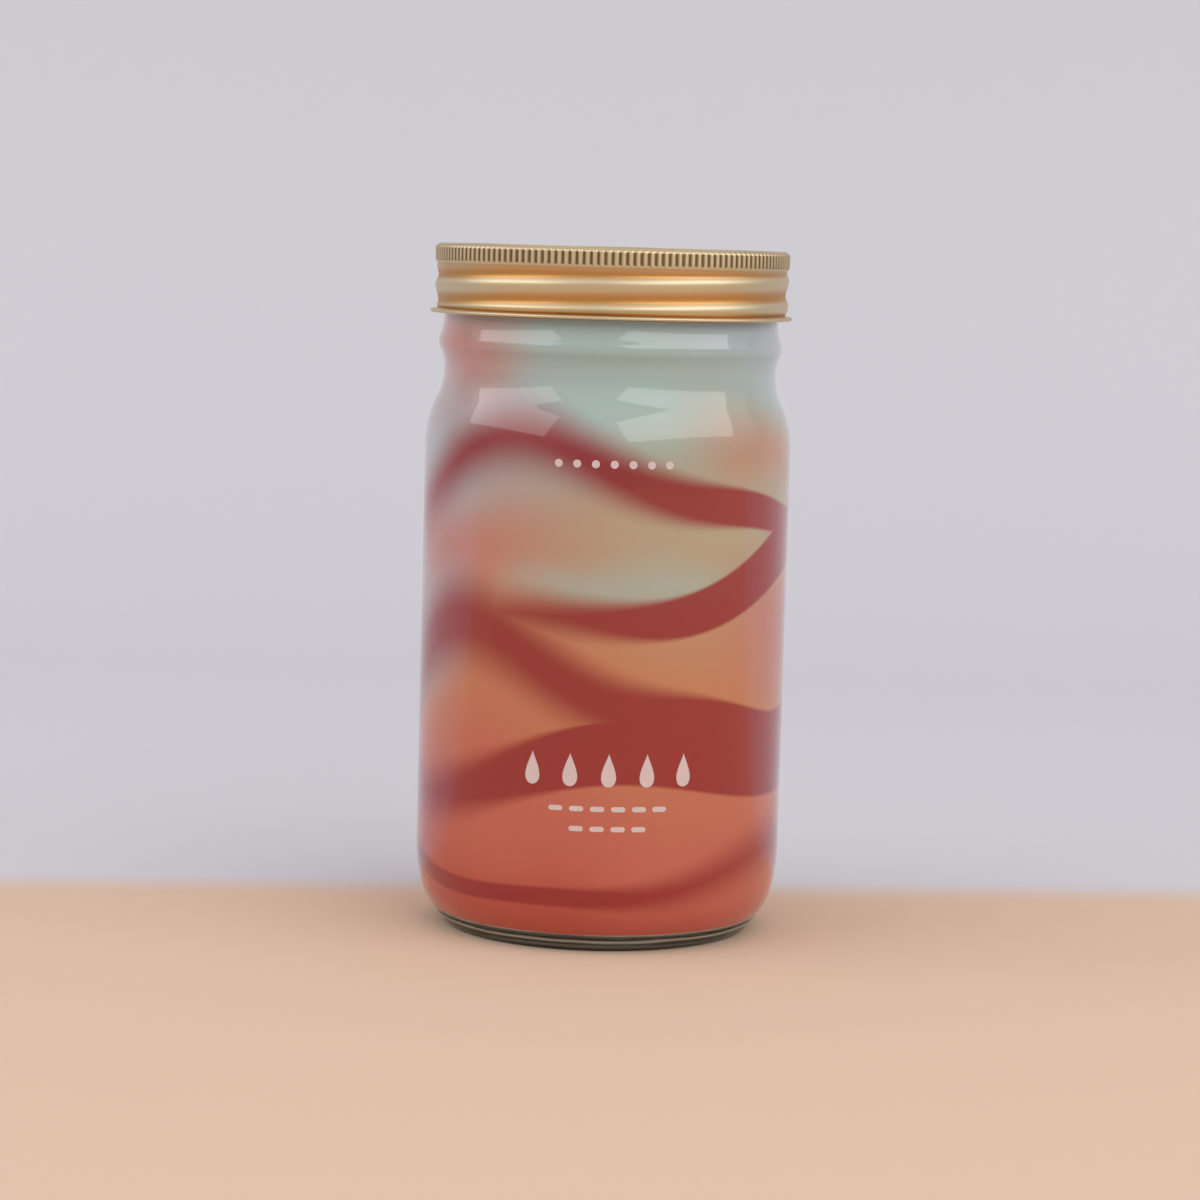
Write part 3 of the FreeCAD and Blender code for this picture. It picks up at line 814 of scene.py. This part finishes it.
class JAR_OT_screw_band(bpy.types.Operator):
    """The gold screw band with its flutes, rolled thread and curled skirt"""

    bl_idname = "jar_planter.screw_band"
    bl_label = "Screw band"

    def execute(self, context):
        band = context.scene.jar_band
        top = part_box("screw_band")[1].z
        outline, knurl_base, wall_base = band_outline(band, top)
        columns_per_knurl = 4
        bm = spun(outline, band.knurls * columns_per_knurl)
        front = -math.pi / 2
        roll_start = top - band.height + band.roll_rise
        flute_top, corner_reach = top - 0.35 * MM, 0.2 * MM
        upper_fade, lower_fade, edge_fade, flute_fade = 1.4 * MM, 0.9 * MM, 2.3 * MM, 0.5 * MM
        for vert in bm.verts:
            height = vert.co.z
            radius = math.hypot(vert.co.x, vert.co.y)
            turn = math.atan2(vert.co.y, vert.co.x)
            wanted = radius
            if radius > band.wall_radius - 2 * band.sheet and wall_base <= height < knurl_base:
                phase = ((height - roll_start) / band.pitch - (turn - front) / (2 * math.pi)) % 1
                above, below = phase / band.roll_skew, (1 - phase) / (1 - band.roll_skew)
                swell = 0.5 + 0.5 * math.cos(math.pi * min(above, below))
                upper = max(0, min(1, (knurl_base - height) / upper_fade))
                lower = max(0, min(1, (height - wall_base) / lower_fade))
                rise = max(0, 1 - (knurl_base - height) / edge_fade)
                wanted += band.roll_height * swell * upper * lower
                wanted = max(wanted, radius + (band.edge_radius - band.wall_radius) * rise)
            elif height >= knurl_base and radius > band.edge_radius - corner_reach:
                flute = 0.5 - 0.5 * math.cos(turn * band.knurls)
                fade = min(1, (height - knurl_base) / flute_fade, (flute_top - height) / flute_fade)
                wanted += band.knurl_depth * flute * max(0, fade)
            if wanted != radius:
                move_out(vert, radius, wanted)
        # Crest radius and height that bound the painted hollow reflection and the painted flute-root shade.
        crest_radius, bright_above = band.edge_radius + 0.25 * MM, top - 0.8 * MM
        hollows = (band.wall_radius, crest_radius)
        flutes = (band.edge_radius, band.knurl_depth, knurl_base, bright_above)
        gold = gold_material("gold_band", (140, 140, 5200), hollows, flutes)
        mesh = finish_mesh(bm, "gold_band", math.radians(50))
        piece = link("gold_band", mesh, "band", gold)
        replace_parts(piece, "screw_band")
        return {"FINISHED"}


class JAR_OT_lid(bpy.types.Operator):
    """The lid disc and its sealing ring"""

    bl_idname = "jar_planter.lid"
    bl_label = "Lid"

    def execute(self, context):
        disc = gold_material("gold_disc", (900, 900, 900))
        smooth_copy("lid_disc", "gold_lid_disc", disc)
        smooth_copy("lid_gasket", "sealing_ring", rubber_material())
        return {"FINISHED"}


class JAR_OT_net_pot(bpy.types.Operator):
    """The slotted steel pot"""

    bl_idname = "jar_planter.net_pot"
    bl_label = "Net pot"

    def execute(self, context):
        smooth_copy("net_pot", "steel_net_pot", steel_material())
        return {"FINISHED"}


def fibre_mesh():
    """One loose fibre a unit long, along X, with a slight bow."""
    thick, thin, bow = 0.018, 0.01, 0.45
    bm = bmesh.new()
    lying = Matrix.Rotation(math.pi / 2, 4, "Y")
    bmesh.ops.create_cone(
        bm, cap_ends=True, segments=4, radius1=thick, radius2=thin, depth=1.0, matrix=lying
    )
    runs = [edge for edge in bm.edges if abs(edge.verts[0].co.x - edge.verts[1].co.x) > 0.5]
    bmesh.ops.subdivide_edges(bm, edges=runs, cuts=4)
    for vert in bm.verts:
        vert.co.y += bow * (0.25 - vert.co.x ** 2)
    return finish_mesh(bm, "fibre")


def remeshed(node, voxel):
    """A CAD node's mesh in even faces, whose vertices can be moved to roughen it."""
    coarse = bpy.data.objects.new("coarse", finish_mesh(welded(node), "coarse"))
    bpy.context.scene.collection.objects.link(coarse)
    modifier = coarse.modifiers.new("even", "REMESH")
    modifier.mode = "VOXEL"
    modifier.voxel_size = voxel
    evaluated = coarse.evaluated_get(bpy.context.evaluated_depsgraph_get())
    even = bmesh.new()
    even.from_mesh(evaluated.data)
    bpy.data.objects.remove(coarse)
    return even


class JAR_OT_medium(bpy.types.Operator):
    """The plug of pressed fibre, with crumbs and loose fibres on it"""

    bl_idname = "jar_planter.medium"
    bl_label = "Growing medium"

    def execute(self, context):
        _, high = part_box("growing_medium")
        coarse_scale, fine_scale, fine_share = 420, 1100, 0.6
        sunk_mm, rough_mm = 0.3, 0.28
        bm = remeshed("growing_medium", 0.9 * MM)
        bm.normal_update()
        for vert in bm.verts:
            crumb = noise.noise(vert.co * coarse_scale) + fine_share * noise.noise(vert.co * fine_scale)
            vert.co -= vert.normal * (sunk_mm + rough_mm * crumb) * MM

        fibre = fibre_mesh()
        draw = random.Random(7)
        nearest, furthest = 4.5 * MM, high.x - 2.0 * MM
        rim, bedded = high.x - 0.1 * MM, high.z - 0.14 * MM
        shortest_mm, longest_mm, most_tilt = 3.0, 6.5, 0.05
        for _ in range(context.scene.jar_fillings.fibres):
            bm.verts.ensure_lookup_table()
            first = len(bm.verts)
            bm.from_mesh(fibre)
            bm.verts.ensure_lookup_table()
            turn = draw.uniform(0, 2 * math.pi)
            reach = nearest + (furthest - nearest) * math.sqrt(draw.random())
            heading = Matrix.Rotation(draw.uniform(0, 2 * math.pi), 4, "Z")
            lie = heading @ Matrix.Rotation(draw.uniform(-most_tilt, most_tilt), 4, "Y")
            size = Matrix.Scale(draw.uniform(shortest_mm, longest_mm) * MM, 4)
            spot = Matrix.Translation((reach * math.cos(turn), reach * math.sin(turn), bedded))
            for vert in bm.verts[first:]:
                vert.co = spot @ lie @ size @ vert.co
                past_rim = math.hypot(vert.co.x, vert.co.y) / rim
                if past_rim > 1:
                    vert.co.x /= past_rim
                    vert.co.y /= past_rim
                vert.co.z = min(vert.co.z, high.z)
        mesh = finish_mesh(bm, "coir_plug", math.radians(60))
        piece = link("coir_plug", mesh, "pot", coir_material())
        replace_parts(piece, "growing_medium")
        return {"FINISHED"}


class JAR_OT_wick(bpy.types.Operator):
    """The felt wick that hangs through the pot's floor"""

    bl_idname = "jar_planter.wick"
    bl_label = "Wick"

    def execute(self, context):
        sizes = context.scene.jar_fillings
        low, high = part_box("wick_strip")
        bm = bmesh.new()
        bmesh.ops.create_grid(bm, x_segments=22, y_segments=120, size=0.5)
        ragged_reach, sway_reach, lump_reach = 0.12 * MM, 0.1 * MM, 0.05 * MM
        edge_from, sways, trimmed = 0.49, 11, 0.4 * MM
        width = sizes.wick_width - trimmed
        for vert in bm.verts:
            across, up = vert.co.x, vert.co.y + 0.5
            at_edge = abs(across) > edge_from
            ragged = ragged_reach * noise.noise((across * 3, up * 90, 4.0)) if at_edge else 0
            hang = sway_reach * math.sin(up * sways)
            hang += lump_reach * noise.noise((across * 30, up * 160, 1.0))
            vert.co = (across * width + ragged, hang, low.z + up * (high.z - low.z))
        mesh = finish_mesh(bm, "felt_wick", math.radians(60))
        piece = link("felt_wick", mesh, "pot", felt_material())
        solid = piece.modifiers.new("thickness", "SOLIDIFY")
        solid.thickness = sizes.wick_thickness
        solid.offset = 0
        edge = piece.modifiers.new("worn edge", "BEVEL")
        edge.width = 0.45 * MM
        edge.segments = 2
        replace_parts(piece, "wick_strip")
        return {"FINISHED"}


def two_sheets(bm, across, along):
    """Two unit grids back to back, whose rims merge once they lie together; gives the vertices of each."""
    bmesh.ops.create_grid(bm, x_segments=across, y_segments=along, size=0.5)
    near = list(bm.verts)
    copied = bmesh.ops.duplicate(bm, geom=bm.verts[:] + bm.edges[:] + bm.faces[:])["geom"]
    bmesh.ops.reverse_faces(bm, faces=[item for item in copied if isinstance(item, bmesh.types.BMFace)])
    return near, [item for item in copied if isinstance(item, bmesh.types.BMVert)]


def seal_rims(bm):
    """Merges the rims, and splits the faces at each corner so that their triangles don't fall together."""
    bmesh.ops.remove_doubles(bm, verts=bm.verts, dist=WELD)
    for corner in [vert for vert in bm.verts if len(vert.link_edges) == 2]:
        beside = [edge.other_vert(corner) for edge in corner.link_edges]
        for face in list(corner.link_faces):
            opposite = next(vert for vert in face.verts if vert != corner and vert not in beside)
            bmesh.utils.face_split(face, corner, opposite)


def pillow(width, depth, height, seam, seed):
    """A filled pouch that stands on one crimped end: two sheets sealed round their edges.

    Across runs from -1 to 1, up from 0 to the height, and seed makes its lumps its own.
    """
    columns, rows = 64, 72
    hair, sheet = 1e-6, 0.14 * MM
    spare, top_slack, pull = 0.35 * MM, 0.18, 0.045
    swell_power, swell_root, crown_power, crown_root = 2.6, 0.6, 2.4, 0.62
    pucker_depth, pucker_reach, puckers = 0.35 * MM, 7 * MM, 19
    lump_depth, lump_share, crimp_depth, crimp_pitch = 0.22 * MM, 0.8, 0.12 * MM, 1.0 * MM
    tooth, tooth_room = 0.3 * MM, 0.35 * MM
    bm = bmesh.new()
    front, back = two_sheets(bm, columns, rows)
    for side, verts in ((-1, front), (1, back)):
        for vert in verts:
            across, up = vert.co.x * 2, (vert.co.y + 0.5) * height
            inner = min(up, height - up) - seam
            at_end = up < hair or up > height - hair
            at_border = at_end or abs(across) > 0.999
            risen = max(0, min(1, (up - seam) / (height - 2 * seam)))
            swell = max(0, 1 - abs(2 * risen - 1) ** swell_power) ** swell_root if inner > 0 else 0
            crown = max(0, 1 - abs(across) ** crown_power) ** crown_root
            full = (depth / 2 - spare) * swell * crown * (1.0 - top_slack * risen)
            near_seam = math.exp(-inner / pucker_reach) if inner > 0 else 0
            pucker = pucker_depth * near_seam * math.sin(across * puckers + 2 * side)
            pucker *= min(1, inner / MM) if inner > 0 else 0
            lumps = lump_depth * swell * crown * noise.noise((across * 9, up * 260, seed + side))
            crimp = crimp_depth * math.sin(up / crimp_pitch * 2 * math.pi) if inner <= 0 else 0
            odd = round((across + 1) * columns / 2) % 2
            pinked = (tooth if odd else -tooth) if at_end else 0
            inward = tooth_room if at_end else 0
            lift = inward + pinked if up < height / 2 else -inward + pinked
            out = side * (sheet + full + pucker + lumps * lump_share) + crimp
            pulled = 1 - pull * swell
            vert.co = (across * width / 2 * pulled, crimp if at_border else out, up + lift)
    seal_rims(bm)
    return bm


def envelope(sizes, base, top):
    """A flat paper packet with a turned-down flap."""
    seed_depth, room, paper = 0.12 * MM, 0.3 * MM, 0.12 * MM
    squareness, flap_taper = 10, 0.16
    set_back, over, fold_steepness = 0.1 * MM, 0.02 * MM, 9
    thickness = sizes.packet_depth
    bm = bmesh.new()
    upper, lower = two_sheets(bm, 56, 42)
    for side, verts in ((0, lower), (1, upper)):
        for vert in verts:
            across, along = vert.co.x * 2, vert.co.y * 2
            full = max(0, 1 - across ** squareness) ** 0.5 * max(0, 1 - along ** squareness) ** 0.5
            seeds = seed_depth * noise.noise((across * 14, along * 11, 2.0)) * full
            height = thickness * 0.5 + (side - 0.5) * (thickness - room) * full + side * seeds
            vert.co = (across * sizes.packet_length / 2, along * sizes.packet_width / 2, height)
    seal_rims(bm)

    flap = bmesh.ops.create_grid(bm, x_segments=14, y_segments=30, size=0.5)["verts"]
    for vert in flap:
        reach, along = vert.co.x + 0.5, vert.co.y * 2
        taper = 1 - flap_taper * reach ** 1.5
        x = sizes.packet_length / 2 - set_back - reach * sizes.packet_flap
        rise = thickness * 0.5 + (thickness * 0.5 + over) * min(1, reach * fold_steepness) ** 0.5
        vert.co = (x, along * sizes.packet_width / 2 * taper, rise + paper)
    flap_faces = list(dict.fromkeys(face for vert in flap for face in vert.link_faces))
    raised = bmesh.ops.extrude_face_region(bm, geom=flap_faces)
    moved = [item for item in raised["geom"] if isinstance(item, bmesh.types.BMVert)]
    bmesh.ops.translate(bm, verts=moved, vec=(0, 0, -paper))
    flap_faces = list(dict.fromkeys(face for vert in flap + moved for face in vert.link_faces))
    bmesh.ops.recalc_face_normals(bm, faces=flap_faces)
    lay = Matrix.Translation((0, 0, base)) @ Matrix.Rotation(sizes.packet_turn, 4, "Z")
    bmesh.ops.transform(bm, matrix=lay, verts=bm.verts)
    for vert in bm.verts:
        vert.co.z = min(vert.co.z, top)
    return bm


class JAR_OT_fillings(bpy.types.Operator):
    """The seed packet, the plant food and the carbon"""

    bl_idname = "jar_planter.fillings"
    bl_label = "Fillings"

    def execute(self, context):
        sizes = context.scene.jar_fillings
        low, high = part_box("seed_packet")
        kraft = paper_material("kraft_paper", colour(150, 112, 76), colour(186, 148, 106), (700, 2400, 700))
        mesh = finish_mesh(envelope(sizes, low.z, high.z), "seed_envelope", math.radians(50))
        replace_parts(link("seed_envelope", mesh, "pot", kraft), "seed_packet")

        foil = foil_material()
        tea = paper_material("tea_paper", colour(206, 200, 186), colour(232, 228, 216), (1200, 600, 2400))
        rows = (
            ("food_pouch", "plant_food_sachet", "foil", foil, sizes.food_depth, sizes.food_height, 1.0),
            ("filter_pouch", "carbon_pouch", "tea_paper", tea, sizes.carbon_depth, sizes.carbon_height, 5.0),
        )
        for name, node, slot_name, material, depth, height, seed in rows:
            low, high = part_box(node)
            bm = pillow(sizes.pouch_width, depth, height, sizes.pouch_seam, seed)
            middle = (low + high) / 2
            bmesh.ops.translate(bm, verts=bm.verts, vec=(middle.x, middle.y, low.z))
            piece = link(name, finish_mesh(bm, name, math.radians(70)), "jar", material)
            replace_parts(piece, node)
        return {"FINISHED"}


def window_lamp(name, place, aim, size, watts):
    """A rectangular lamp that faces a point."""
    data = bpy.data.lights.new(name, "AREA")
    data.shape = "RECTANGLE"
    data.size, data.size_y = size
    data.energy = watts
    lamp = bpy.data.objects.new(name, data)
    bpy.context.scene.collection.objects.link(lamp)
    lamp.location = place
    lamp.rotation_euler = (Vector(aim) - Vector(place)).to_track_quat("-Z", "Y").to_euler()


def backdrop_material(settings):
    """Floor colour near the jar, wall colour further back."""
    g = Graph("studio")
    slant, floor_ends, wall_starts = -0.09, 28 * MM, 62 * MM
    x, y, _ = g.place()
    back = g.between(g.math("MULTIPLY_ADD", x, slant, y), floor_ends, wall_starts)
    tone = g.mix(back, settings.floor, settings.wall)
    g.set(Base_Color=tone, Roughness=0.9, Specular_IOR_Level=0.2)
    return g.material


def studio_camera(settings):
    """The camera, where the jar is seen from a little above."""
    data = bpy.data.cameras.new("camera")
    data.sensor_width = 36.0
    data.lens = settings.lens
    data.clip_start = 20 * MM
    camera = bpy.data.objects.new("camera", data)
    bpy.context.scene.collection.objects.link(camera)
    tilt = Matrix.Rotation(math.pi / 2 - settings.pitch, 4, "X")
    lean = Matrix.Rotation(settings.roll, 4, "Z")
    place = Matrix.Translation((-settings.aside, -settings.distance, settings.height))
    camera.matrix_world = place @ tilt @ lean
    return camera


def studio_floor(settings):
    """One sheet for floor and wall, with a round cove between them; its sizes are in metres."""
    near, wall, cove, half_width, height = -1.6, 1.1, 0.6, 3.0, 2.4
    corner = arc_points((wall - cove, cove), cove, -math.pi / 2, 0, 16)
    section = [(near, 0.0)] + corner + [(wall, height)]
    bm = bmesh.new()
    ring = [bm.verts.new((-half_width, y, z)) for y, z in section]
    edges = [bm.edges.new(pair) for pair in zip(ring, ring[1:])]
    made = bmesh.ops.extrude_edge_only(bm, edges=edges)
    moved = [item for item in made["geom"] if isinstance(item, bmesh.types.BMVert)]
    bmesh.ops.translate(bm, verts=moved, vec=(2 * half_width, 0, 0))
    bmesh.ops.recalc_face_normals(bm, faces=bm.faces)
    floor = bpy.data.objects.new("studio_floor", finish_mesh(bm, "studio_floor", math.pi))
    bpy.context.scene.collection.objects.link(floor)
    floor.data.materials.append(backdrop_material(settings))


def room_light(strength):
    """Light from all round, a little darker from below."""
    world = bpy.data.worlds.new("studio")
    world.use_nodes = True
    nodes, links = world.node_tree.nodes, world.node_tree.links
    direction = nodes.new("ShaderNodeTexCoord")
    height = nodes.new("ShaderNodeSeparateXYZ")
    links.new(direction.outputs["Generated"], height.inputs["Vector"])
    shade = nodes.new("ShaderNodeValToRGB")
    below, level, above = (0.52, 0.52, 0.56, 1), (0.62, 0.62, 0.65, 1), (1.0, 1.0, 1.0, 1)
    set_stops(shade, [(0.0, below), (0.12, level), (0.4, above)])
    links.new(height.outputs["Z"], shade.inputs["Fac"])
    links.new(shade.outputs["Color"], nodes["Background"].inputs["Color"])
    nodes["Background"].inputs["Strength"].default_value = strength
    return world


class JAR_OT_stage(bpy.types.Operator):
    """Camera, lamps, floor and backdrop"""

    bl_idname = "jar_planter.stage"
    bl_label = "Stage"

    def execute(self, context):
        scene = context.scene
        settings = scene.jar_stage
        scene.camera = studio_camera(settings)
        studio_floor(settings)
        aim = (0, 0, 90 * MM)
        # Places and sizes of the lamps, in metres
        left_place, left_size = (-1.25, -0.45, 0.85), (1.7, 0.64)
        right_place, right_size = (1.1, -0.95, 0.92), (2.45, 0.76)
        window_lamp("window_left", left_place, aim, left_size, settings.left_power)
        window_lamp("window_right", right_place, aim, right_size, settings.right_power)
        scene.world = room_light(settings.room_strength)
        scene.view_settings.view_transform = "Standard"
        return {"FINISHED"}


OPERATORS = (
    JAR_OT_stage,
    JAR_OT_print_film,
    JAR_OT_marks,
    JAR_OT_glass,
    JAR_OT_screw_band,
    JAR_OT_lid,
    JAR_OT_net_pot,
    JAR_OT_medium,
    JAR_OT_wick,
    JAR_OT_fillings,
)

SETTINGS = {
    "jar_sizes": JarSizes,
    "jar_colours": PrintColours,
    "jar_band": BandSizes,
    "jar_fillings": FillingSizes,
    "jar_stage": StageSettings,
}


class JAR_PT_panel(bpy.types.Panel):
    """Lists the pieces of the jar planter"""

    bl_label = "Jar planter"
    bl_idname = "JAR_PT_panel"
    bl_space_type = "VIEW_3D"
    bl_region_type = "UI"
    bl_category = "Jar planter"

    def draw(self, context):
        for operator in OPERATORS:
            self.layout.operator(operator.bl_idname)
        for name, group in SETTINGS.items():
            box = self.layout.box()
            for field in group.__annotations__:
                box.prop(getattr(context.scene, name), field)


def register():
    for group in SETTINGS.values():
        bpy.utils.register_class(group)
    for name, group in SETTINGS.items():
        setattr(bpy.types.Scene, name, PointerProperty(type=group))
    for made in OPERATORS + (JAR_PT_panel,):
        bpy.utils.register_class(made)


def unregister():
    for made in reversed(OPERATORS + (JAR_PT_panel,)):
        bpy.utils.unregister_class(made)
    for name, group in SETTINGS.items():
        delattr(bpy.types.Scene, name)
        bpy.utils.unregister_class(group)


def main():
    register()
    for operator in OPERATORS:
        family, action = operator.bl_idname.split(".")
        getattr(getattr(bpy.ops, family), action)()


if __name__ == "__main__":
    main()
